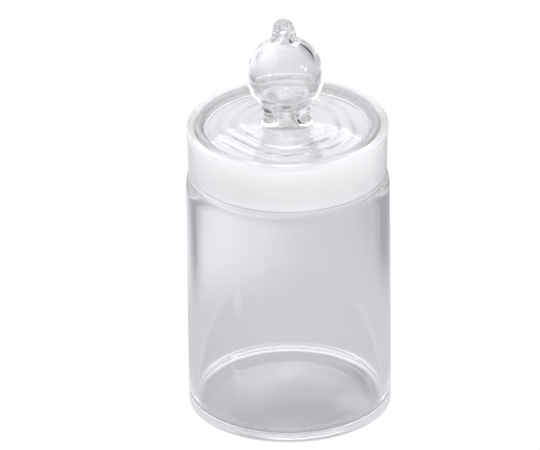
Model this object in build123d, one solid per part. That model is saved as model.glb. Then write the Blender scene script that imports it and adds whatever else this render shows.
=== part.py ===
from build123d import *
import os
from math import cos, hypot, radians, sin, sqrt

# A hand-made specimen jar with a ground-glass stopper, at real size in millimetres.
# The jar stands on the origin with its axis along +Z, and the stopper is seated in it.
# Both pieces are solids of revolution, so each is one outline of (radius, height)
# points turned about the Z axis.

# ---- Driving dimensions: the jar ----
JAR_RADIUS = 30.0
JAR_HEIGHT = 91.0
JAR_WALL = 2.8
FLOOR_HEIGHT = 2.5  # top of the glass floor, where it meets the inner corner
FLOOR_CROWN = 1.0  # how far the floor rises to its middle
FLOOR_CORNER_RADIUS = 1.7

FOOT_CORNER_RADIUS = 3.8
FOOT_DRAW_IN = 0.2  # the body narrows by this much on the radius on its way down to the foot
FOOT_DRAW_HEIGHT = 18.0
PUNT_RADIUS = 21.0  # the hollow under the base, inside the ring that the jar stands on
PUNT_DEPTH = 0.9

SHOULDER_HEIGHT = 70.9  # where the straight body starts to round in
WAIST_HEIGHT = 75.2  # the crease between the shoulder and the neck
WAIST_RADIUS = 29.15
NECK_TOP_HEIGHT = 87.6
NECK_TOP_RADIUS = 29.5
RIM_RADIUS = 29.8  # the rim flares back out to nearly the body's own radius
RIM_FLARE_HEIGHT = 89.4
RIM_EDGE_RADIUS = 1.0
RIM_FLARE_BLEND = 3.0
LEDGE_RADIUS = 26.6  # the small step in below the ground bore
LEDGE_DROP = 0.4
LEDGE_BLEND = 0.15
BORE_TOP = 73.4  # where the bore has opened out from the ledge to its full width
BORE_BLEND = 1.0

# ---- Driving dimensions: the ground joint ----
SOCKET_TOP_RADIUS = 27.7
SOCKET_DEPTH = 15.0
TAPER = 1 / 20  # radius lost for each millimetre down: 1 in 10 on the diameter
JOINT_GAP = 0.06  # between the two ground cones when the stopper is seated
SKIRT_LENGTH = 13.4  # from the rim down to the skirt's lower edge

# ---- Driving dimensions: the stopper's skirt and disc ----
SKIRT_WALL = 2.6
SKIRT_EDGE_RADIUS = 0.7
RING_HEIGHT = 91.1  # crest of the rounded ring round the disc
RING_INNER_RADIUS = 25.6
RING_EDGE_RADIUS = 1.3
DISC_HEIGHT = 90.5  # where the disc meets the ring
DISC_RISE = 1.4  # how far the disc climbs on its way in to the knob's neck
DISC_RADIUS = 24.7
DISC_THICKNESS = 2.6
DISC_BLEND = 1.4
UNDERSIDE_CORNER_RADIUS = 1.2

# ---- Driving dimensions: the stopper's hollow knob ----
BULB_HEIGHT = 107.2  # centre of the bulb
BULB_RADIUS = 11.5
BULB_HOLLOW_HEIGHT = 107.8  # centre of the hollow inside the bulb
BULB_HOLLOW_RADIUS = 9.4
NECK_RADIUS = 6.7  # the knob's neck at its narrowest
NECK_HEIGHT = 93.5
NECK_FOOT_RADIUS = 1.6
THROAT_RADIUS = 2.25  # the passage through the knob's neck at its narrowest
THROAT_HEIGHT = 95.0
THROAT_RIM_RADIUS = 4.0  # the edge where the passage opens into the bulb
THROAT_RIM_BLEND = 0.8
TIP_RADIUS = 3.1
TIP_TOP = 125.2
TIP_SLOPE = 12.0  # degrees that the tip's side leans out on its way down
TIP_BLEND = 1.8
HOLLOW_TIP_RADIUS = 0.8
HOLLOW_TIP_TOP = 121.5
HOLLOW_TIP_BLEND = 5.0

# ---- Worked out from the above ----
BODY_BORE_RADIUS = JAR_RADIUS - JAR_WALL
SOCKET_BOTTOM = JAR_HEIGHT - SOCKET_DEPTH
SKIRT_BOTTOM = JAR_HEIGHT - SKIRT_LENGTH
UNDERSIDE_EDGE = DISC_HEIGHT - DISC_THICKNESS
UNDERSIDE_MIDDLE = UNDERSIDE_EDGE + DISC_RISE
THROAT_FLARE_RADIUS = THROAT_HEIGHT - UNDERSIDE_MIDDLE  # how the passage opens downwards


def socket_radius(height):
    """Radius of the ground bore in the neck at a height."""
    return SOCKET_TOP_RADIUS - TAPER * (JAR_HEIGHT - height)


def skirt_radius(height):
    """Radius of the stopper's ground skirt at a height."""
    return socket_radius(height) - JOINT_GAP


def blend_centre(lower, lower_radius, upper, upper_radius, blend):
    """Centre of the hollow arc that touches two circles standing on the axis, one above the other."""
    spacing = upper - lower
    to_lower = lower_radius + blend
    to_upper = upper_radius + blend
    rise = (spacing**2 + to_lower**2 - to_upper**2) / (2 * spacing)
    return sqrt(to_lower**2 - rise**2), lower + rise


def resting_on_circle(start, direction, centre, radius):
    """The point first met on the way from start along a unit direction that is radius from centre."""
    across = start[0] - centre[0]
    above = start[1] - centre[1]
    along = across * direction[0] + above * direction[1]
    travel = -along - sqrt(along**2 - across**2 - above**2 + radius**2)
    return start[0] + travel * direction[0], start[1] + travel * direction[1]


def toward(start, end, distance):
    """The point at a distance from start, on the way to end."""
    length = hypot(end[0] - start[0], end[1] - start[1])
    share = distance / length
    return start[0] + share * (end[0] - start[0]), start[1] + share * (end[1] - start[1])


def turned(outline, corners):
    """The solid that an outline makes round the Z axis, after its sharp corners are rounded."""
    section = make_face(outline)
    for point, radius in corners:
        corner = section.vertices().sort_by_distance((point[0], point[1], 0))[0]
        section = fillet(corner, radius)
    return revolve(Plane.XZ * section, Axis.Z)


def make_jar_body():
    """Base, body, shoulder and neck: one wall of glass, with the ground bore in its neck."""
    foot_corner = (JAR_RADIUS - FOOT_DRAW_IN, 0)
    body_start = (JAR_RADIUS, FOOT_DRAW_HEIGHT)
    floor_corner = (BODY_BORE_RADIUS, FLOOR_HEIGHT)
    rim_outer = (RIM_RADIUS, JAR_HEIGHT)
    rim_inner = (SOCKET_TOP_RADIUS, JAR_HEIGHT)
    rim_flare = (RIM_RADIUS, RIM_FLARE_HEIGHT)
    neck_top = (NECK_TOP_RADIUS, NECK_TOP_HEIGHT)
    waist = (WAIST_RADIUS, WAIST_HEIGHT)
    shoulder = (JAR_RADIUS, SHOULDER_HEIGHT)
    socket_bottom = (socket_radius(SOCKET_BOTTOM), SOCKET_BOTTOM)
    ledge = (LEDGE_RADIUS, SOCKET_BOTTOM - LEDGE_DROP)
    bore_top = (BODY_BORE_RADIUS, BORE_TOP)

    punt = TangentArc((0, PUNT_DEPTH), (PUNT_RADIUS, 0), tangent=(1, 0))
    base = Line((PUNT_RADIUS, 0), foot_corner)
    draw_in = TangentArc(body_start, foot_corner, tangent=(0, -1))
    body = Line(body_start, shoulder)
    shoulder_arc = TangentArc(shoulder, waist, tangent=(0, 1))
    neck = Polyline(waist, neck_top, rim_flare, rim_outer, rim_inner, socket_bottom)
    inside = Polyline(socket_bottom, ledge, bore_top, floor_corner)
    floor = TangentArc((0, FLOOR_HEIGHT + FLOOR_CROWN), floor_corner, tangent=(1, 0))
    axis = Line((0, FLOOR_HEIGHT + FLOOR_CROWN), (0, PUNT_DEPTH))
    outline = [punt, base, draw_in, body, shoulder_arc, neck, inside, floor, axis]
    corners = [
        (foot_corner, FOOT_CORNER_RADIUS),
        (neck_top, RIM_FLARE_BLEND),
        (rim_flare, RIM_FLARE_BLEND),
        (rim_outer, RIM_EDGE_RADIUS),
        (rim_inner, RIM_EDGE_RADIUS / 2),
        (socket_bottom, LEDGE_BLEND),
        (ledge, LEDGE_BLEND),
        (bore_top, BORE_BLEND),
        (floor_corner, FLOOR_CORNER_RADIUS),
    ]
    return turned(outline, corners)


def knob_outside():
    """The knob's outer curve, from its tip down to the top of the disc."""
    tip = (0, TIP_TOP - TIP_RADIUS)
    bulb = (0, BULB_HEIGHT)
    neck_arc_radius = (
        BULB_RADIUS**2 - (BULB_HEIGHT - NECK_HEIGHT) ** 2 - NECK_RADIUS**2
    ) / (2 * (NECK_RADIUS - BULB_RADIUS))
    neck_centre = (NECK_RADIUS + neck_arc_radius, NECK_HEIGHT)
    lean = radians(TIP_SLOPE)
    outward = (cos(lean), sin(lean))
    down = (sin(lean), -cos(lean))
    tip_end = (TIP_RADIUS * outward[0], tip[1] + TIP_RADIUS * outward[1])
    blend_start = (tip_end[0] + TIP_BLEND * outward[0], tip_end[1] + TIP_BLEND * outward[1])
    tip_centre = resting_on_circle(blend_start, down, bulb, BULB_RADIUS + TIP_BLEND)
    side_end = (tip_centre[0] - TIP_BLEND * outward[0], tip_centre[1] - TIP_BLEND * outward[1])
    bulb_start = toward(bulb, tip_centre, BULB_RADIUS)
    bulb_end = toward(bulb, neck_centre, BULB_RADIUS)
    neck_end = (NECK_RADIUS, NECK_HEIGHT)
    foot_end = (NECK_RADIUS + NECK_FOOT_RADIUS, DISC_HEIGHT + DISC_RISE)
    tip_arc = TangentArc((0, TIP_TOP), tip_end, tangent=(1, 0))
    tip_side = Line(tip_end, side_end)
    tip_blend = TangentArc(side_end, bulb_start, tangent=down)
    bulb_arc = TangentArc(bulb_start, bulb_end, tangent=tip_blend % 1)
    neck_arc = TangentArc(bulb_end, neck_end, tangent=bulb_arc % 1)
    foot_arc = TangentArc(neck_end, foot_end, tangent=neck_arc % 1)
    return [tip_arc, tip_side, tip_blend, bulb_arc, neck_arc, foot_arc]


def knob_hollow():
    """The hollow's curve, from the underside of the disc up through the throat to its drawn-up top."""
    bulb = (0, BULB_HOLLOW_HEIGHT)
    rim_offset = THROAT_RIM_RADIUS + THROAT_RIM_BLEND
    rim_drop = sqrt((BULB_HOLLOW_RADIUS + THROAT_RIM_BLEND) ** 2 - rim_offset**2)
    rim_centre = (rim_offset, BULB_HOLLOW_HEIGHT - rim_drop)
    across = rim_centre[0] - THROAT_RADIUS
    above = rim_centre[1] - THROAT_HEIGHT
    funnel_radius = (across**2 + above**2 - THROAT_RIM_BLEND**2) / (2 * (across - THROAT_RIM_BLEND))
    funnel_centre = (THROAT_RADIUS + funnel_radius, THROAT_HEIGHT)
    tip = (0, HOLLOW_TIP_TOP - HOLLOW_TIP_RADIUS)
    tip_centre = blend_centre(
        BULB_HOLLOW_HEIGHT, BULB_HOLLOW_RADIUS, tip[1], HOLLOW_TIP_RADIUS, HOLLOW_TIP_BLEND
    )
    flare_start = (THROAT_RADIUS + THROAT_FLARE_RADIUS, UNDERSIDE_MIDDLE)
    throat = (THROAT_RADIUS, THROAT_HEIGHT)
    funnel_end = toward(funnel_centre, rim_centre, funnel_radius)
    bulb_start = toward(bulb, rim_centre, BULB_HOLLOW_RADIUS)
    bulb_end = toward(bulb, tip_centre, BULB_HOLLOW_RADIUS)
    tip_start = toward(tip, tip_centre, HOLLOW_TIP_RADIUS)
    flare = TangentArc(flare_start, throat, tangent=(-1, 0))
    funnel = TangentArc(throat, funnel_end, tangent=(0, 1))
    rim = TangentArc(funnel_end, bulb_start, tangent=funnel % 1)
    bulb_arc = TangentArc(bulb_start, bulb_end, tangent=rim % 1)
    tip_blend = TangentArc(bulb_end, tip_start, tangent=bulb_arc % 1)
    tip_arc = TangentArc(tip_start, (0, HOLLOW_TIP_TOP), tangent=tip_blend % 1)
    return [flare, funnel, rim, bulb_arc, tip_blend, tip_arc]


def make_stopper():
    """Ground skirt, disc and hollow knob: one wall of glass, open at its lower end."""
    disc_start = (NECK_RADIUS + NECK_FOOT_RADIUS, DISC_HEIGHT + DISC_RISE)
    disc_edge = (DISC_RADIUS, DISC_HEIGHT)
    ring_inner = (RING_INNER_RADIUS, RING_HEIGHT)
    ring_outer = (skirt_radius(RING_HEIGHT), RING_HEIGHT)
    skirt_outer = (skirt_radius(SKIRT_BOTTOM), SKIRT_BOTTOM)
    skirt_inner = (skirt_radius(SKIRT_BOTTOM) - SKIRT_WALL, SKIRT_BOTTOM)
    underside_corner = (skirt_radius(UNDERSIDE_EDGE) - SKIRT_WALL, UNDERSIDE_EDGE)
    underside_start = (THROAT_RADIUS + THROAT_FLARE_RADIUS, UNDERSIDE_MIDDLE)
    cup = Polyline(
        disc_start,
        disc_edge,
        ring_inner,
        ring_outer,
        skirt_outer,
        skirt_inner,
        underside_corner,
        underside_start,
    )
    axis = Line((0, HOLLOW_TIP_TOP), (0, TIP_TOP))
    outline = [*knob_outside(), cup, *knob_hollow(), axis]
    corners = [
        (disc_edge, DISC_BLEND),
        (ring_inner, RING_EDGE_RADIUS),
        (ring_outer, RING_EDGE_RADIUS),
        (skirt_outer, SKIRT_EDGE_RADIUS),
        (skirt_inner, SKIRT_EDGE_RADIUS),
        (underside_corner, UNDERSIDE_CORNER_RADIUS),
    ]
    return turned(outline, corners)


os.makedirs("parts", exist_ok=True)
export_step(make_jar_body(), "parts/jar_body.step")
export_step(make_stopper(), "parts/stopper.step")
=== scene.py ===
from math import atan2, ceil, cos, hypot, pi, radians, sin, sqrt

import bmesh
import bpy
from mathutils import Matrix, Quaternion, Vector


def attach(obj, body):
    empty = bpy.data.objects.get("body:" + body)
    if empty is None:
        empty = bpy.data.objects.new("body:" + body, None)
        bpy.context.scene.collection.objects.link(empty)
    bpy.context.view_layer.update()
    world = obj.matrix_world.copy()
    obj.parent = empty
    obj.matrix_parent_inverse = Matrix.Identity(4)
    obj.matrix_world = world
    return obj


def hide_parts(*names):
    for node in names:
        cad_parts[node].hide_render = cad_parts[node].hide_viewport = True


# A hand-made specimen jar with a ground-glass stopper. Profiles are in millimetres, as
# (radius, height) points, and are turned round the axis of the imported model.

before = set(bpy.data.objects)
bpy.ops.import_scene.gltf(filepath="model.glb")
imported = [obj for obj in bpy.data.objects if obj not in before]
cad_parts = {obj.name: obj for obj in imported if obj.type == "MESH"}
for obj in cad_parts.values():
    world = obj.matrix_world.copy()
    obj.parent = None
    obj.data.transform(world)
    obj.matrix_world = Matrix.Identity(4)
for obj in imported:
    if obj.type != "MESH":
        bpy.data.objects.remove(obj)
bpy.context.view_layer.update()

MM = 0.001

# ---- The jar ----
JAR_RADIUS = 30.0
JAR_HEIGHT = 91.0
BORE_RADIUS = 27.2
FLOOR_HEIGHT = 2.5
FLOOR_CROWN = 1.0
FLOOR_CORNER = 1.7
FOOT_CORNER = 3.8
FOOT_DRAW_IN = 0.2
FOOT_DRAW_HEIGHT = 18.0
PUNT_RADIUS = 21.0
PUNT_DEPTH = 0.9
SHOULDER_HEIGHT = 70.9
WAIST_HEIGHT = 75.2
WAIST_RADIUS = 29.15
NECK_TOP_HEIGHT = 87.6
NECK_TOP_RADIUS = 29.5
RIM_RADIUS = 29.8
RIM_FLARE_HEIGHT = 89.4
RIM_EDGE = 1.0
NECK_BLEND = 3.0
WAIST_BLEND = 0.3
LEDGE_RADIUS = 26.6
LEDGE_DROP = 0.4
LEDGE_BLEND = 0.15
BORE_TOP = 73.4
BORE_BLEND = 1.0

# ---- The ground joint ----
SOCKET_TOP_RADIUS = 27.7
SOCKET_DEPTH = 15.0
TAPER = 1 / 20
JOINT_GAP = 0.06
SKIRT_LENGTH = 13.4

# ---- The stopper ----
SKIRT_WALL = 2.6
SKIRT_EDGE = 0.7
RING_HEIGHT = 91.1
RING_INNER_RADIUS = 25.6
RING_EDGE = 1.3
DISC_HEIGHT = 90.5
DISC_RISE = 1.4
DISC_RADIUS = 24.7
DISC_THICKNESS = 2.6
DISC_BLEND = 1.4
UNDERSIDE_CORNER = 1.2
BULB_HEIGHT = 107.2
BULB_RADIUS = 11.5
HOLLOW_HEIGHT = 107.8
HOLLOW_RADIUS = 9.4
KNOB_NECK_RADIUS = 6.7
KNOB_NECK_HEIGHT = 93.5
KNOB_FOOT = 1.6
THROAT_RADIUS = 2.25
THROAT_HEIGHT = 95.0
THROAT_RIM_RADIUS = 4.0
THROAT_RIM_BLEND = 0.8
TIP_RADIUS = 3.1
TIP_TOP = 125.2
TIP_SLOPE = 12.0
TIP_BLEND = 1.8
HOLLOW_TIP_RADIUS = 0.8
HOLLOW_TIP_TOP = 121.5
HOLLOW_TIP_BLEND = 5.0

# ---- How finely the glass is meshed ----
SIDES = 192
FOOT_STEPS = 24
LONGEST_STEP = 0.8  # mm between rings on straight stretches
CREASE_STEP = 0.1  # mm from the end of a straight to its first ring
SHORTEST_STRAIGHT = 0.8  # mm; anything shorter is a step of a curve
ARC_STEP = radians(5)
ARC_LENGTH = 0.45  # mm, the longest step on a curve
NEARLY_STRAIGHT = radians(89.9)  # half the angle of a corner that needs no arc
SAME_PLACE = 1e-4  # mm; points closer than this are one point
ON_AXIS = 1e-6  # mm; a point with a radius below this lies on the axis


def socket_radius(height):
    """Radius of the ground bore in the neck at a height."""
    return SOCKET_TOP_RADIUS - TAPER * (JAR_HEIGHT - height)


def rounded(points, radii):
    """A polyline's points with arcs of the given radii in place of its inner corners."""
    out = [points[0]]
    for before, corner, after, radius in zip(points, points[1:], points[2:], radii):
        to_before = Vector(before) - Vector(corner)
        to_after = Vector(after) - Vector(corner)
        half = to_before.angle(to_after) / 2
        if radius == 0 or half > NEARLY_STRAIGHT:
            out.append(corner)
            continue
        reach = radius * cos(half) / sin(half)
        to_before.normalize()
        to_after.normalize()
        centre = Vector(corner) + (to_before + to_after).normalized() * (radius / sin(half))
        start = Vector(corner) + to_before * reach
        end = Vector(corner) + to_after * reach
        out += arc(centre, start, end)
    out.append(points[-1])
    return out


def arc(centre, start, end):
    """Points on the shorter arc round centre, from start to end."""
    centre = Vector(centre)
    first = Vector(start) - centre
    last = Vector(end) - centre
    turn = atan2(first.x * last.y - first.y * last.x, first.dot(last))
    longest = min(ARC_STEP, ARC_LENGTH / first.length)
    steps = max(2, ceil(abs(turn) / longest))
    points = []
    for i in range(steps + 1):
        angle = turn * i / steps
        points.append(
            (
                centre.x + first.x * cos(angle) - first.y * sin(angle),
                centre.y + first.x * sin(angle) + first.y * cos(angle),
            )
        )
    return points


def axis_arc(top, edge):
    """Points on the arc that starts level on the axis at a height and ends at edge."""
    radius, height = edge
    drop = top - height
    centre_height = top - (radius**2 + drop**2) / (2 * drop)
    return arc((0, centre_height), (0, top), edge)


def toward(start, end, distance):
    """The point at a distance from start, on the way to end."""
    share = distance / hypot(end[0] - start[0], end[1] - start[1])
    return start[0] + share * (end[0] - start[0]), start[1] + share * (end[1] - start[1])


def spaced(points):
    """The same outline in short steps, with a point close to each end of a straight.

    Those points keep the shading of the curves beside a straight crisp.
    """
    out = [points[0]]
    for point in points[1:]:
        last = out[-1]
        length = hypot(point[0] - last[0], point[1] - last[1])
        if length < SAME_PLACE:
            continue
        if length > SHORTEST_STRAIGHT:
            out.append(toward(last, point, CREASE_STEP))
            steps = int(length / LONGEST_STEP) + 1
            for i in range(1, steps):
                out.append(toward(last, point, length * i / steps))
            out.append(toward(last, point, length - CREASE_STEP))
        out.append(point)
    return out


def jar_profile():
    """The jar's whole section, from the axis under the base to the axis on the floor inside."""
    corner = (JAR_RADIUS - FOOT_DRAW_IN, 0)
    draw_in = []
    for step in range(1, FOOT_STEPS + 1):
        share = step / FOOT_STEPS
        draw_in.append((JAR_RADIUS - FOOT_DRAW_IN * (1 - share) ** 2, FOOT_DRAW_HEIGHT * share))
    shoulder_rise = WAIST_HEIGHT - SHOULDER_HEIGHT
    shoulder_dip = JAR_RADIUS - WAIST_RADIUS
    shoulder_radius = (shoulder_rise**2 + shoulder_dip**2) / (2 * shoulder_dip)
    shoulder = arc(
        (JAR_RADIUS - shoulder_radius, SHOULDER_HEIGHT),
        (JAR_RADIUS, SHOULDER_HEIGHT),
        (WAIST_RADIUS, WAIST_HEIGHT),
    )
    crease_start = -3  # from here on the shoulder's steps give way to the crease's own arc
    punt = axis_arc(PUNT_DEPTH, (PUNT_RADIUS, 0))
    # A known fault: rounded() stops after its five radii, so only the first four steps of draw_in
    # are used. They start below the top of the foot's arc, and the outline folds back there.
    outside = rounded([punt[-1], corner, *draw_in, shoulder[0]], [FOOT_CORNER, 0, 0, 0, 0])
    neck = rounded(
        [
            shoulder[crease_start],
            shoulder[-1],
            (NECK_TOP_RADIUS, NECK_TOP_HEIGHT),
            (RIM_RADIUS, RIM_FLARE_HEIGHT),
            (RIM_RADIUS, JAR_HEIGHT),
            (SOCKET_TOP_RADIUS, JAR_HEIGHT),
            (socket_radius(JAR_HEIGHT - SOCKET_DEPTH), JAR_HEIGHT - SOCKET_DEPTH),
            (LEDGE_RADIUS, JAR_HEIGHT - SOCKET_DEPTH - LEDGE_DROP),
            (BORE_RADIUS, BORE_TOP),
            (BORE_RADIUS, FLOOR_HEIGHT),
            (BORE_RADIUS - 2 * FLOOR_CORNER, FLOOR_HEIGHT),
        ],
        [
            WAIST_BLEND,
            NECK_BLEND,
            NECK_BLEND,
            RIM_EDGE,
            RIM_EDGE / 2,
            LEDGE_BLEND,
            LEDGE_BLEND,
            BORE_BLEND,
            FLOOR_CORNER,
        ],
    )
    floor = axis_arc(FLOOR_HEIGHT + FLOOR_CROWN, neck[-1])[::-1]
    return spaced([*punt, *outside, *shoulder[:crease_start], *neck, *floor])


def knob_outside():
    """The knob's outer curve, from its tip down to the top of the disc."""
    tip = Vector((0, TIP_TOP - TIP_RADIUS))
    bulb = Vector((0, BULB_HEIGHT))
    lean = radians(TIP_SLOPE)
    outward = Vector((cos(lean), sin(lean)))
    down = Vector((sin(lean), -cos(lean)))
    tip_end = tip + outward * TIP_RADIUS
    start = tip_end + outward * TIP_BLEND - bulb
    along = start.dot(down)
    reach = BULB_RADIUS + TIP_BLEND
    travel = -along - sqrt(along**2 - start.length_squared + reach**2)
    tip_centre = bulb + start + down * travel
    side_end = tip_centre - outward * TIP_BLEND
    bulb_start = toward(bulb, tip_centre, BULB_RADIUS)
    rise = BULB_HEIGHT - KNOB_NECK_HEIGHT
    neck_arc = (BULB_RADIUS**2 - rise**2 - KNOB_NECK_RADIUS**2) / (
        2 * (KNOB_NECK_RADIUS - BULB_RADIUS)
    )
    neck_centre = (KNOB_NECK_RADIUS + neck_arc, KNOB_NECK_HEIGHT)
    bulb_end = toward(bulb, neck_centre, BULB_RADIUS)
    neck_end = (KNOB_NECK_RADIUS, KNOB_NECK_HEIGHT)
    foot_end = (KNOB_NECK_RADIUS + KNOB_FOOT, DISC_HEIGHT + DISC_RISE)
    return [
        *arc(tip, (0, TIP_TOP), tip_end),
        *arc(tip_centre, side_end, bulb_start),
        *arc(bulb, bulb_start, bulb_end),
        *arc(neck_centre, bulb_end, neck_end),
        *arc((foot_end[0], KNOB_NECK_HEIGHT), neck_end, foot_end),
    ]


def knob_hollow():
    """The hollow's curve, from the underside of the disc up through the throat to its drawn-up top."""
    underside = DISC_HEIGHT + DISC_RISE - DISC_THICKNESS
    flare = THROAT_HEIGHT - underside
    flare_end = (THROAT_RADIUS, THROAT_HEIGHT)
    bulb = (0, HOLLOW_HEIGHT)
    rim_x = THROAT_RIM_RADIUS + THROAT_RIM_BLEND
    rim_z = HOLLOW_HEIGHT - sqrt((HOLLOW_RADIUS + THROAT_RIM_BLEND) ** 2 - rim_x**2)
    across = rim_x - THROAT_RADIUS
    above = rim_z - THROAT_HEIGHT
    funnel = (across**2 + above**2 - THROAT_RIM_BLEND**2) / (2 * (across - THROAT_RIM_BLEND))
    funnel_centre = (THROAT_RADIUS + funnel, THROAT_HEIGHT)
    funnel_end = toward(funnel_centre, (rim_x, rim_z), funnel)
    tip = (0, HOLLOW_TIP_TOP - HOLLOW_TIP_RADIUS)
    spacing = tip[1] - HOLLOW_HEIGHT
    to_bulb = HOLLOW_RADIUS + HOLLOW_TIP_BLEND
    to_tip = HOLLOW_TIP_RADIUS + HOLLOW_TIP_BLEND
    rise = (spacing**2 + to_bulb**2 - to_tip**2) / (2 * spacing)
    tip_centre = (sqrt(to_bulb**2 - rise**2), HOLLOW_HEIGHT + rise)
    bulb_start = toward(bulb, (rim_x, rim_z), HOLLOW_RADIUS)
    bulb_end = toward(bulb, tip_centre, HOLLOW_RADIUS)
    tip_start = toward(tip, tip_centre, HOLLOW_TIP_RADIUS)
    return [
        *arc((THROAT_RADIUS + flare, THROAT_HEIGHT), (THROAT_RADIUS + flare, underside), flare_end),
        *arc(funnel_centre, flare_end, funnel_end),
        *arc((rim_x, rim_z), funnel_end, bulb_start),
        *arc(bulb, bulb_start, bulb_end),
        *arc(tip_centre, bulb_end, tip_start),
        *arc(tip, tip_start, (0, HOLLOW_TIP_TOP)),
    ]


def stopper_profile():
    """The stopper's whole section, from its tip down the outside and back up the hollow."""
    bottom = JAR_HEIGHT - SKIRT_LENGTH
    underside = DISC_HEIGHT - DISC_THICKNESS
    outer = socket_radius(bottom) - JOINT_GAP
    outside = knob_outside()
    hollow = knob_hollow()
    cup = rounded(
        [
            outside[-1],
            (DISC_RADIUS, DISC_HEIGHT),
            (RING_INNER_RADIUS, RING_HEIGHT),
            (socket_radius(RING_HEIGHT) - JOINT_GAP, RING_HEIGHT),
            (outer, bottom),
            (outer - SKIRT_WALL, bottom),
            (socket_radius(underside) - JOINT_GAP - SKIRT_WALL, underside),
            hollow[0],
        ],
        [DISC_BLEND, RING_EDGE, RING_EDGE, SKIRT_EDGE, SKIRT_EDGE, UNDERSIDE_CORNER],
    )
    return spaced([*outside, *cup, *hollow])


def turned(name, profile, shape, is_ground):
    """A closed mesh made by turning a profile round the axis.

    shape moves each point, in millimetres. is_ground says whether the profile is ground at a radius
    and height, and the faces there take the second material.
    """
    mesh = bmesh.new()
    rings = []
    for radius, height in profile:
        if radius < ON_AXIS:
            rings.append([mesh.verts.new(shape(Vector((0, 0, height))) * MM)])
            continue
        ring = []
        for i in range(SIDES):
            angle = 2 * pi * i / SIDES
            point = Vector((radius * cos(angle), radius * sin(angle), height))
            ring.append(mesh.verts.new(shape(point) * MM))
        rings.append(ring)
    for step, (lower, upper) in enumerate(zip(rings, rings[1:])):
        middle = (Vector(profile[step]) + Vector(profile[step + 1])) / 2
        ground = is_ground(middle.x, middle.y)
        for i in range(SIDES):
            j = (i + 1) % SIDES
            corners = [
                lower[i % len(lower)],
                lower[j % len(lower)],
                upper[j % len(upper)],
                upper[i % len(upper)],
            ]
            face = mesh.faces.new(list(dict.fromkeys(corners)))
            face.material_index = int(ground)
    bmesh.ops.recalc_face_normals(mesh, faces=mesh.faces)
    for face in mesh.faces:
        face.smooth = True
    data = bpy.data.meshes.new(name)
    mesh.to_mesh(data)
    mesh.free()
    piece = bpy.data.objects.new(name, data)
    bpy.context.collection.objects.link(piece)
    return piece


def smooth_step(value, start, end):
    """0 before start, 1 after end, and a smooth rise between them."""
    share = min(max((value - start) / (end - start), 0), 1)
    return share * share * (3 - 2 * share)


# ---- How the glass departs from a true turning ----
# Lengths are in mm.
RIM_TILT = 0.8 / 60  # mm up for each mm to the right
KNOB_LEAN = 0.026  # mm to the left for each mm above the rim
TILT_START = 78.0  # the tilt comes in between these heights
TILT_END = 89.0
WAVE_LENGTH = 4.4
WAVE_HEIGHT = 0.09
WAVE_START = 10.0  # the disc's waves lie between these radii
WAVE_END = 24.0
WAVE_EDGE = 3.0  # the waves come in and die away over this much of the radius
WAVE_BACK = 0.3  # share of the waves behind the knob, as against in front of it
WAVE_TURN = 8.0  # how far before and behind the axis the one share gives way to the other
WAVE_TWISTS = [(1.6, 2, 0.4), (0.7, 5, 1.0)]  # size, lobes round the disc, start
DISC_MARGIN = 0.2  # above and below the disc, to take in all its faces


def tilted(point):
    """The top of the jar and its stopper sit a little aslant."""
    x, y, z = point
    share = smooth_step(z, TILT_START, TILT_END)
    lean = KNOB_LEAN * max(z - JAR_HEIGHT, 0)
    return Vector((x - lean, y, z + RIM_TILT * x * share))


def blown(point):
    """The stopper's disc has the slow waves that blowing leaves, then it is tilted with the rest."""
    radius = hypot(point.x, point.y)
    disc_bottom = DISC_HEIGHT - DISC_THICKNESS - DISC_MARGIN
    on_disc = disc_bottom < point.z < DISC_HEIGHT + DISC_RISE + DISC_MARGIN
    if on_disc and WAVE_START < radius < WAVE_END:
        angle = atan2(point.y, point.x)
        fade_in = smooth_step(radius, WAVE_START, WAVE_START + WAVE_EDGE)
        fade_out = smooth_step(radius, WAVE_END - WAVE_EDGE, WAVE_END)
        fade = fade_in * (1 - fade_out)
        phase = 2 * pi * radius / WAVE_LENGTH
        for size, lobes, start in WAVE_TWISTS:
            phase += size * sin(lobes * angle + start)
        front = smooth_step(-point.y, -WAVE_TURN, WAVE_TURN)
        wave = WAVE_HEIGHT * (WAVE_BACK + (1 - WAVE_BACK) * front)
        point = point + Vector((0, 0, fade * wave * sin(phase)))
    return tilted(point)


# ---- Shader helpers ----
def put(tree, kind, **settings):
    """Adds a shader node and sets its properties."""
    node = tree.nodes.new(kind)
    for name, value in settings.items():
        setattr(node, name, value)
    return node


def feed(tree, socket, value):
    """Links a socket to another node's output, or sets it to a number or colour."""
    if isinstance(value, bpy.types.NodeSocket):
        tree.links.new(value, socket)
    else:
        socket.default_value = value


def compute(tree, operation, *values):
    """A Math node's result."""
    node = put(tree, "ShaderNodeMath", operation=operation)
    for socket, value in zip(node.inputs, values):
        feed(tree, socket, value)
    return node.outputs["Value"]


def eased(tree, value, start, end, low=0.0, high=1.0):
    """Goes smoothly from low to high as value goes from start to end."""
    node = put(tree, "ShaderNodeMapRange", interpolation_type="SMOOTHSTEP")
    feed(tree, node.inputs["Value"], value)
    feed(tree, node.inputs["From Min"], start)
    feed(tree, node.inputs["From Max"], end)
    feed(tree, node.inputs["To Min"], low)
    feed(tree, node.inputs["To Max"], high)
    return node.outputs["Result"]


def mixed(tree, factor, first, second):
    """A colour mix."""
    node = put(tree, "ShaderNodeMix", data_type="RGBA")
    feed(tree, node.inputs["Factor"], factor)
    feed(tree, node.inputs["A"], first)
    feed(tree, node.inputs["B"], second)
    return node.outputs["Result"]


def scaled(tree, vector, *factors):
    """A vector with each part multiplied."""
    node = put(tree, "ShaderNodeVectorMath", operation="MULTIPLY")
    feed(tree, node.inputs[0], vector)
    node.inputs[1].default_value = factors
    return node.outputs["Vector"]


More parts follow.
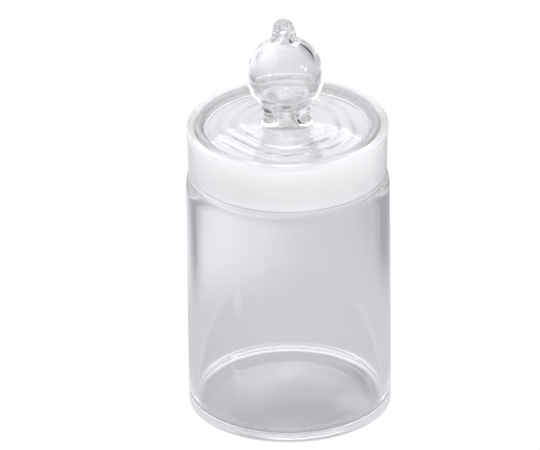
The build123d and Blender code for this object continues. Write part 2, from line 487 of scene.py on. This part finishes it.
def noise_at(tree, place, scale, detail):
    """Smooth noise from 0 to 1, with scale features to a unit of place."""
    node = put(tree, "ShaderNodeTexNoise")
    feed(tree, node.inputs["Vector"], place)
    node.inputs["Scale"].default_value = scale
    node.inputs["Detail"].default_value = detail
    return node.outputs["Fac"]


def millimetres(tree):
    """The place on the piece, in millimetres."""
    place = put(tree, "ShaderNodeTexCoord").outputs["Object"]
    return scaled(tree, place, 1000, 1000, 1000)


def bumped(tree, height):
    """A normal bent by a height in millimetres."""
    node = put(tree, "ShaderNodeBump")
    node.inputs["Distance"].default_value = MM
    feed(tree, node.inputs["Height"], height)
    return node.outputs["Normal"]


# ---- Glass ----
# Heights, distances and bumps are in mm, and scales are in features to a mm.
GLASS_IOR = 1.47
GLASS_TINT = (0.99, 0.992, 0.99, 1)
EDGE_COLOUR = (0.88, 0.95, 0.70, 1)
EDGE_DENSITY = 1.0  # per metre
JAR_HAZE = 0.035  # the roughness of the faint smears on each piece
STOPPER_HAZE = 0.012
SMEAR_SCALE = 0.09
SMEAR_DETAIL = 4.0
SMEAR_STRETCH = 0.35  # smears are longer upwards than across
SMEAR_START = 0.52  # the noise at which a smear begins
SMEAR_END = 0.72  # and at which it is full
SLOW_SCALE = 0.11  # of the slow waves that blowing leaves all over
SLOW_STRETCH = 0.4
SLOW_BUMP = 0.03
RIM_ROUGHNESS = 0.3  # of the rim and the ring, where the grinding left its edge
RIM_SOFT_START = JAR_HEIGHT - 1.6
RIM_SOFT_END = JAR_HEIGHT - 0.4
RIM_SOFT_WIDTH = 0.6  # either side of the disc's edge
WORN_ROUGHNESS = 0.3  # of the underside, scratched by standing on shelves
WORN_HEIGHT = 1.0  # worn up to here, and clean above CLEAN_HEIGHT
CLEAN_HEIGHT = 1.8
SEED_SCALE = 0.16
SEED_CHOICE = 0.6  # a cell of the pattern has a seed when its random number is above this
SEED_CORE = 0.02  # shares of a cell's size
SEED_EDGE = 0.045
SEED_ROUGHNESS = 0.3
SEED_BUMP = 0.12
GROUND_COLOUR = (0.97, 0.982, 0.962, 1)
# Painted shade: the stopper's ground skirt takes a greyer copy of the ground glass's colour.
SKIRT_SHADED_COLOUR = (0.82, 0.83, 0.814, 1)
# Painted light: the jar's ground glass is whiter below the end of the skirt.
BARE_STRIP_LIGHT = (0.995, 0.995, 0.995, 1)
STRIP_LIGHT_FADE_DOWN = 0.1  # the whitest glass fades out from this far below the end of the skirt
STRIP_LIGHT_FADE_UP = 0.4  # to this far above it
GROUND_SEE_THROUGH = 0.25
GROUND_ROUGHNESS = 0.38
GRIND_ROUGHNESS = 0.2  # what the rings that grinding leaves add to it
GRIND_SCALE = 3.0
GRIND_DETAIL = 3.0
GRIND_STRETCH = 0.02  # the rings run round the cone
GRIND_BUMP = 0.006
GRAIN_SCALE = 5.0
GRAIN_DETAIL = 2.0
GRAIN_BUMP = 0.012
GROUND_TOP_MARGIN = 0.6  # the grinding stops this far below the top of the bore


def start_glass(name, tint):
    """A see-through material: its node tree and its main shader."""
    material = bpy.data.materials.new(name)
    material.use_nodes = True
    tree = material.node_tree
    shader = tree.nodes["Principled BSDF"]
    shader.inputs["Base Color"].default_value = tint
    shader.inputs["IOR"].default_value = GLASS_IOR
    depth = put(tree, "ShaderNodeVolumeAbsorption")
    depth.inputs["Color"].default_value = EDGE_COLOUR
    depth.inputs["Density"].default_value = EDGE_DENSITY
    tree.links.new(depth.outputs["Volume"], tree.nodes["Material Output"].inputs["Volume"])
    return material, tree, shader


def seeds(tree, place):
    """1 in the few specks and tiny bubbles that are scattered through the glass, 0 elsewhere."""
    node = put(tree, "ShaderNodeTexVoronoi")
    feed(tree, node.inputs["Vector"], place)
    node.inputs["Scale"].default_value = SEED_SCALE
    chosen = compute(tree, "GREATER_THAN", node.outputs["Color"], SEED_CHOICE)
    dot = eased(tree, node.outputs["Distance"], SEED_CORE, SEED_EDGE, 1.0, 0.0)
    return compute(tree, "MULTIPLY", dot, chosen)


def clear_glass(name, haze):
    """Fire-polished glass with slow waves, smears and a few seeds, soft at the rim and worn below.

    haze is the roughness of the smears.
    """
    material, tree, shader = start_glass(name, GLASS_TINT)
    shader.inputs["Transmission Weight"].default_value = 1.0
    place = millimetres(tree)
    smear = noise_at(tree, scaled(tree, place, 1, 1, SMEAR_STRETCH), SMEAR_SCALE, SMEAR_DETAIL)
    specks = seeds(tree, place)
    film = eased(tree, smear, SMEAR_START, SMEAR_END, 0.0, haze)
    parts = put(tree, "ShaderNodeSeparateXYZ")
    feed(tree, parts.inputs["Vector"], place)
    across = put(tree, "ShaderNodeVectorMath", operation="LENGTH")
    feed(tree, across.inputs[0], scaled(tree, place, 1, 1, 0))
    high = eased(tree, parts.outputs["Z"], RIM_SOFT_START, RIM_SOFT_END)
    wide_start = DISC_RADIUS - RIM_SOFT_WIDTH
    wide = eased(tree, across.outputs["Value"], wide_start, DISC_RADIUS + RIM_SOFT_WIDTH)
    rim = compute(tree, "MULTIPLY", compute(tree, "MULTIPLY", high, wide), RIM_ROUGHNESS)
    clean = eased(tree, parts.outputs["Z"], WORN_HEIGHT, CLEAN_HEIGHT)
    film = compute(tree, "MULTIPLY", film, clean)
    worn = compute(tree, "MULTIPLY_ADD", clean, -WORN_ROUGHNESS, WORN_ROUGHNESS)
    roughness = compute(tree, "ADD", compute(tree, "ADD", film, rim), worn)
    roughness = compute(tree, "MULTIPLY_ADD", specks, SEED_ROUGHNESS, roughness)
    feed(tree, shader.inputs["Roughness"], roughness)
    slow = noise_at(tree, scaled(tree, place, 1, 1, SLOW_STRETCH), SLOW_SCALE, 1.0)
    height = compute(tree, "MULTIPLY", compute(tree, "MULTIPLY", slow, clean), SLOW_BUMP)
    height = compute(tree, "MULTIPLY_ADD", specks, SEED_BUMP, height)
    feed(tree, shader.inputs["Normal"], bumped(tree, height))
    return material


def ground_glass(name, tint, light_strip_below=None):
    """The ground joint: white, finely matt glass with the faint rings that grinding leaves.

    It is whitest, with painted light, below the height it is given, where no second cone lies against
    it.
    """
    material, tree, shader = start_glass(name, tint)
    shader.inputs["Transmission Weight"].default_value = GROUND_SEE_THROUGH
    place = millimetres(tree)
    # Painted light whitens the glass below the end of the skirt.
    if light_strip_below:
        parts = put(tree, "ShaderNodeSeparateXYZ")
        feed(tree, parts.inputs["Vector"], place)
        light_strip_end = light_strip_below + STRIP_LIGHT_FADE_UP
        light_strip = eased(tree, parts.outputs["Z"], light_strip_below - STRIP_LIGHT_FADE_DOWN, light_strip_end, 1.0, 0.0)
        feed(tree, shader.inputs["Base Color"], mixed(tree, light_strip, tint, BARE_STRIP_LIGHT))
    along = scaled(tree, place, GRIND_STRETCH, GRIND_STRETCH, 1)
    rings = noise_at(tree, along, GRIND_SCALE, GRIND_DETAIL)
    grain = noise_at(tree, place, GRAIN_SCALE, GRAIN_DETAIL)
    roughness = compute(tree, "MULTIPLY_ADD", rings, GRIND_ROUGHNESS, GROUND_ROUGHNESS)
    feed(tree, shader.inputs["Roughness"], roughness)
    height = compute(tree, "MULTIPLY", rings, GRIND_BUMP)
    height = compute(tree, "MULTIPLY_ADD", grain, GRAIN_BUMP, height)
    feed(tree, shader.inputs["Normal"], bumped(tree, height))
    return material


def socket_is_ground(radius, height):
    """True on the ground bore in the jar's neck and on the small step below it."""
    step = JAR_HEIGHT - SOCKET_DEPTH - LEDGE_DROP
    inside = radius < socket_radius(height) + JOINT_GAP
    return inside and step < height < JAR_HEIGHT - GROUND_TOP_MARGIN


def skirt_is_ground(radius, height):
    """True on the ground outside of the stopper's skirt."""
    on_cone = abs(radius + JOINT_GAP - socket_radius(height)) < JOINT_GAP / 2
    bottom = JAR_HEIGHT - SKIRT_LENGTH + SKIRT_EDGE
    return on_cone and bottom < height < RING_HEIGHT - RING_EDGE


def make_jar():
    """The jar, clear all over but for the ground bore in its neck."""
    skirt_end = JAR_HEIGHT - SKIRT_LENGTH
    jar = turned("jar_glass", jar_profile(), tilted, socket_is_ground)
    jar.data.materials.append(clear_glass("jar_clear", JAR_HAZE))
    jar.data.materials.append(ground_glass("jar_ground", GROUND_COLOUR, skirt_end))
    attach(jar, "jar")
    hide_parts("jar_body")


def make_stopper():
    """The hollow stopper, clear all over but for its ground skirt."""
    stopper = turned("stopper_glass", stopper_profile(), blown, skirt_is_ground)
    stopper.data.materials.append(clear_glass("stopper_clear", STOPPER_HAZE))
    # The skirt's greyer colour is painted shade.
    stopper.data.materials.append(ground_glass("stopper_ground", SKIRT_SHADED_COLOUR))
    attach(stopper, "stopper")
    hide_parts("stopper")


make_jar()
make_stopper()

# ---- Stage ----
# Places on the floor are in metres. Heights in the sky are the Z of a unit direction.
TINT = (0.977, 0.948, 1.01)
HORIZON = 0.93  # brightness of the sky below HORIZON_TOP
ZENITH = 1.45  # brightness of the sky above ZENITH_BOTTOM
HORIZON_TOP = 0.1
ZENITH_BOTTOM = 0.45
FILL = 0.5  # how much more light the ground glass gets from all round
FILL_ABOVE = 0.4  # and more again from above
FILL_ABOVE_START = 0.3
FILL_ABOVE_END = 0.9
FILL_RIGHT = 0.5  # and from the right
FILL_RIGHT_PATCH = (90, 20, 30, 60)  # azimuth, elevation, size, edge
LAMPS = [  # azimuth to the right of straight behind, elevation, size, edge, strength
    (0, 45, 26, 12, 0.7),
    (0, 27, 1, 6, 0.6),
    (-95, 42, 26, 12, 0.8),
    (108, 22, 3, 3, 9.0),
]
FLAGS = [  # azimuth, elevation, size, edge, share of the light that is left
    (42, 16, 20, 7, 0.02),
    (17, 21, 5, 5, 0.1),
    (-52, 6, 11, 6, 0.5),
]
# Painted shadow darkens the paper under the jar, out to the first radius below and fading over the edge
# after it.
FLOOR_SHADOW_RADIUS = 0.026
FLOOR_SHADOW_EDGE = 0.004
FLOOR_UNDER = 0.47  # share of the light that reaches the floor under the jar
# Pools of painted light (gain above 0) and painted shade (gain below 0) on the paper round the jar.
# The last seven pools stand in for the light that the jar's glass throws under it.
PAINTED_POOLS = [  # x, y, radius, edge, gain
    (-0.042, 0.105, 0.010, 0.045, 0.26),
    (-0.120, 0.100, 0.030, 0.050, -0.24),
    (0.110, 0.120, 0.040, 0.050, -0.24),
    (0.0, -0.200, 0.090, 0.080, 0.30),
    (0.0, 0.0155, 0.002, 0.004, 0.22),
    (-0.0075, 0.0105, 0.003, 0.008, 0.12),
    (0.0190, -0.0050, 0.003, 0.006, 0.28),
    (0.0013, -0.0025, 0.006, 0.010, -0.12),
    (0.0200, 0.0140, 0.002, 0.007, -0.15),
    (-0.0170, -0.0010, 0.006, 0.012, 0.10),
    (0.0, -0.0210, 0.004, 0.010, 0.16),
]
HALO_RADIUS = 0.031  # the light that the jar's foot throws on the paper round it
HALO_EDGE = 0.008
HALO_BACK = 0.35
HALO_FRONT = 0.1
HALO_TURN = 0.02  # how far behind the axis the front's halo has given way to the back's
# Painted light: the paper seen through the glass is graded in brightness from front to back and from
# left to right.
FLOOR_NEAR = 0.65  # brightness of the paper from the front to FLOOR_NEAR_END
FLOOR_NEAR_END = 0.13
FLOOR_FAR_START = 0.32
FLOOR_FAR_LEFT = 1.05  # brightness behind FLOOR_FAR_START, left of FLOOR_LEFT_END
FLOOR_FAR_RIGHT = 0.66  # and right of FLOOR_RIGHT_START
FLOOR_LEFT_END = -0.05
FLOOR_RIGHT_START = 0.06
FLOOR_RADIUS = 1.5
FLOOR_SIDES = 96
FLOOR_DROP = 0.0002  # keeps the paper just clear of the jar's foot


def facing(azimuth, elevation):
    """The unit direction at an azimuth to the right of straight behind the jar, in degrees."""
    a = radians(azimuth)
    e = radians(elevation)
    return Vector((sin(a) * cos(e), cos(a) * cos(e), sin(e)))


def patch(tree, direction, azimuth, elevation, size, edge):
    """1 where direction is within size degrees of a place in the studio, falling to 0 over edge."""
    dot = put(tree, "ShaderNodeVectorMath", operation="DOT_PRODUCT")
    feed(tree, dot.inputs[0], direction)
    dot.inputs[1].default_value = facing(azimuth, elevation)
    return eased(tree, dot.outputs["Value"], cos(radians(size + edge)), cos(radians(size)))


def tinted(tree, light):
    """The studio's faint lavender grey at a brightness."""
    node = put(tree, "ShaderNodeVectorMath", operation="SCALE")
    node.inputs[0].default_value = TINT
    feed(tree, node.inputs["Scale"], light)
    return node.outputs["Vector"]


def make_world():
    """Soft lamps and dark flags round the jar, behind a plain white backdrop."""
    world = bpy.data.worlds.new("studio")
    bpy.context.scene.world = world
    world.use_nodes = True
    tree = world.node_tree
    direction = put(tree, "ShaderNodeTexCoord").outputs["Generated"]
    parts = put(tree, "ShaderNodeSeparateXYZ")
    feed(tree, parts.inputs["Vector"], direction)
    light = eased(tree, parts.outputs["Z"], HORIZON_TOP, ZENITH_BOTTOM, HORIZON, ZENITH)
    for azimuth, elevation, size, edge, left in FLAGS:
        flag = patch(tree, direction, azimuth, elevation, size, edge)
        light = compute(tree, "MULTIPLY", light, compute(tree, "MULTIPLY_ADD", flag, left - 1, 1.0))
    for azimuth, elevation, size, edge, strength in LAMPS:
        lamp = patch(tree, direction, azimuth, elevation, size, edge)
        light = compute(tree, "MULTIPLY_ADD", lamp, strength, light)
    path = put(tree, "ShaderNodeLightPath")
    most = FILL + FILL_ABOVE
    fill = eased(tree, parts.outputs["Z"], FILL_ABOVE_START, FILL_ABOVE_END, FILL, most)
    right = patch(tree, direction, *FILL_RIGHT_PATCH)
    fill = compute(tree, "MULTIPLY_ADD", right, FILL_RIGHT, fill)
    lights_matt_glass = compute(tree, "MINIMUM", path.outputs["Diffuse Depth"], 1.0)
    fill = compute(tree, "MULTIPLY", fill, lights_matt_glass)
    light = compute(tree, "MULTIPLY", light, compute(tree, "ADD", fill, 1.0))
    colour = mixed(tree, path.outputs["Is Camera Ray"], tinted(tree, light), (1, 1, 1, 1))
    feed(tree, tree.nodes["Background"].inputs["Color"], colour)


def distance_from(tree, place, x, y):
    """How far a place on the floor is from a point, in metres."""
    node = put(tree, "ShaderNodeVectorMath", operation="DISTANCE")
    feed(tree, node.inputs[0], place)
    node.inputs[1].default_value = (x, y, 0)
    return node.outputs["Value"]


def floor_light(tree):
    """Painted light on the paper seen through the glass: graded front to back, with pools, halo and
    shadow.
    """
    geometry = put(tree, "ShaderNodeNewGeometry").outputs["Position"]
    place = scaled(tree, geometry, 1, 1, 0)
    parts = put(tree, "ShaderNodeSeparateXYZ")
    feed(tree, parts.inputs["Vector"], place)
    side = parts.outputs["X"]
    depth = parts.outputs["Y"]
    # Painted light, graded brighter behind the jar and to its left.
    far = eased(tree, side, FLOOR_LEFT_END, FLOOR_RIGHT_START, FLOOR_FAR_LEFT, FLOOR_FAR_RIGHT)
    light = eased(tree, depth, FLOOR_NEAR_END, FLOOR_FAR_START, FLOOR_NEAR, far)
    # Each pool adds painted light or painted shade to the paper.
    for x, y, radius, edge, gain in PAINTED_POOLS:
        pool = eased(tree, distance_from(tree, place, x, y), radius, radius + edge, gain, 0.0)
        light = compute(tree, "ADD", light, pool)
    middle = distance_from(tree, place, 0, 0)
    gain = eased(tree, depth, 0.0, HALO_TURN, HALO_FRONT, HALO_BACK)
    halo = eased(tree, middle, HALO_RADIUS, HALO_RADIUS + HALO_EDGE, gain, 0.0)
    shadow_end = FLOOR_SHADOW_RADIUS + FLOOR_SHADOW_EDGE
    outside = eased(tree, middle, FLOOR_SHADOW_RADIUS, shadow_end)
    light = compute(tree, "MULTIPLY_ADD", outside, halo, light)
    # Painted shadow on the paper under the jar.
    under = eased(tree, middle, FLOOR_SHADOW_RADIUS, shadow_end, FLOOR_UNDER, 1.0)
    return compute(tree, "MULTIPLY", light, under)


def make_floor():
    """White paper that fades into the backdrop; through the glass it glows with painted light and
    shade.
    """
    data = bpy.data.meshes.new("floor")
    mesh = bmesh.new()
    bmesh.ops.create_circle(mesh, cap_ends=True, radius=FLOOR_RADIUS, segments=FLOOR_SIDES)
    mesh.to_mesh(data)
    mesh.free()
    floor = bpy.data.objects.new("floor", data)
    bpy.context.collection.objects.link(floor)
    floor.location.z = -FLOOR_DROP
    material = bpy.data.materials.new("floor_paper")
    material.use_nodes = True
    tree = material.node_tree
    tree.nodes.clear()
    seen = put(tree, "ShaderNodeLightPath").outputs["Is Camera Ray"]
    glow = put(tree, "ShaderNodeEmission")
    # Seen through the glass, the paper glows with painted light and shade; the camera sees it plain
    # white.
    paper = tinted(tree, floor_light(tree))
    feed(tree, glow.inputs["Color"], mixed(tree, seen, paper, (1, 1, 1, 1)))
    out = put(tree, "ShaderNodeOutputMaterial")
    tree.links.new(glow.outputs["Emission"], out.inputs["Surface"])
    data.materials.append(material)


make_floor()
make_world()

# ---- Camera ----
LENS = 1200.0  # mm; long, because the view has next to no perspective
SENSOR = 36.0  # mm
VIEW_WIDTH = 159.1  # mm across the view at the jar
VIEW_SIDE = -5.97  # mm from the jar's axis to the middle of the view
VIEW_RISE = 51.0  # mm from the jar's foot to the middle of the view
MID_DEPTH = 28.0  # mm from the foot to the jar's middle, towards the camera
ELEVATION = 27.3  # degrees above the horizon
ROLL = 0.65  # degrees
CLIP_END = 100  # metres
MOST_BOUNCES = 128  # so that light gets out of the thick glass instead of dying in it
DIFFUSE_BOUNCES = 12
GLOSSY_BOUNCES = 64


def make_camera():
    """The camera, high in front of the jar and turned a little, aimed by where the jar lies in view."""
    data = bpy.data.cameras.new("camera")
    data.lens = LENS
    data.sensor_width = SENSOR
    data.clip_end = CLIP_END
    camera = bpy.data.objects.new("camera", data)
    bpy.context.collection.objects.link(camera)
    back = Vector((0, -cos(radians(ELEVATION)), sin(radians(ELEVATION))))
    turn = (-back).to_track_quat("-Z", "Y") @ Quaternion((0, 0, 1), -radians(ROLL))
    camera.rotation_mode = "QUATERNION"
    camera.rotation_quaternion = turn
    aim = turn @ Vector((VIEW_SIDE, VIEW_RISE, 0))
    distance = VIEW_WIDTH * LENS / SENSOR + MID_DEPTH
    camera.location = (aim + back * distance) * MM
    bpy.context.scene.camera = camera


def set_up_render():
    """Plain colours, and enough bounces for light to find its way through thick glass."""
    scene = bpy.context.scene
    scene.view_settings.view_transform = "Standard"
    scene.cycles.max_bounces = MOST_BOUNCES
    scene.cycles.diffuse_bounces = DIFFUSE_BOUNCES
    scene.cycles.transmission_bounces = MOST_BOUNCES
    scene.cycles.glossy_bounces = GLOSSY_BOUNCES


make_camera()
set_up_render()
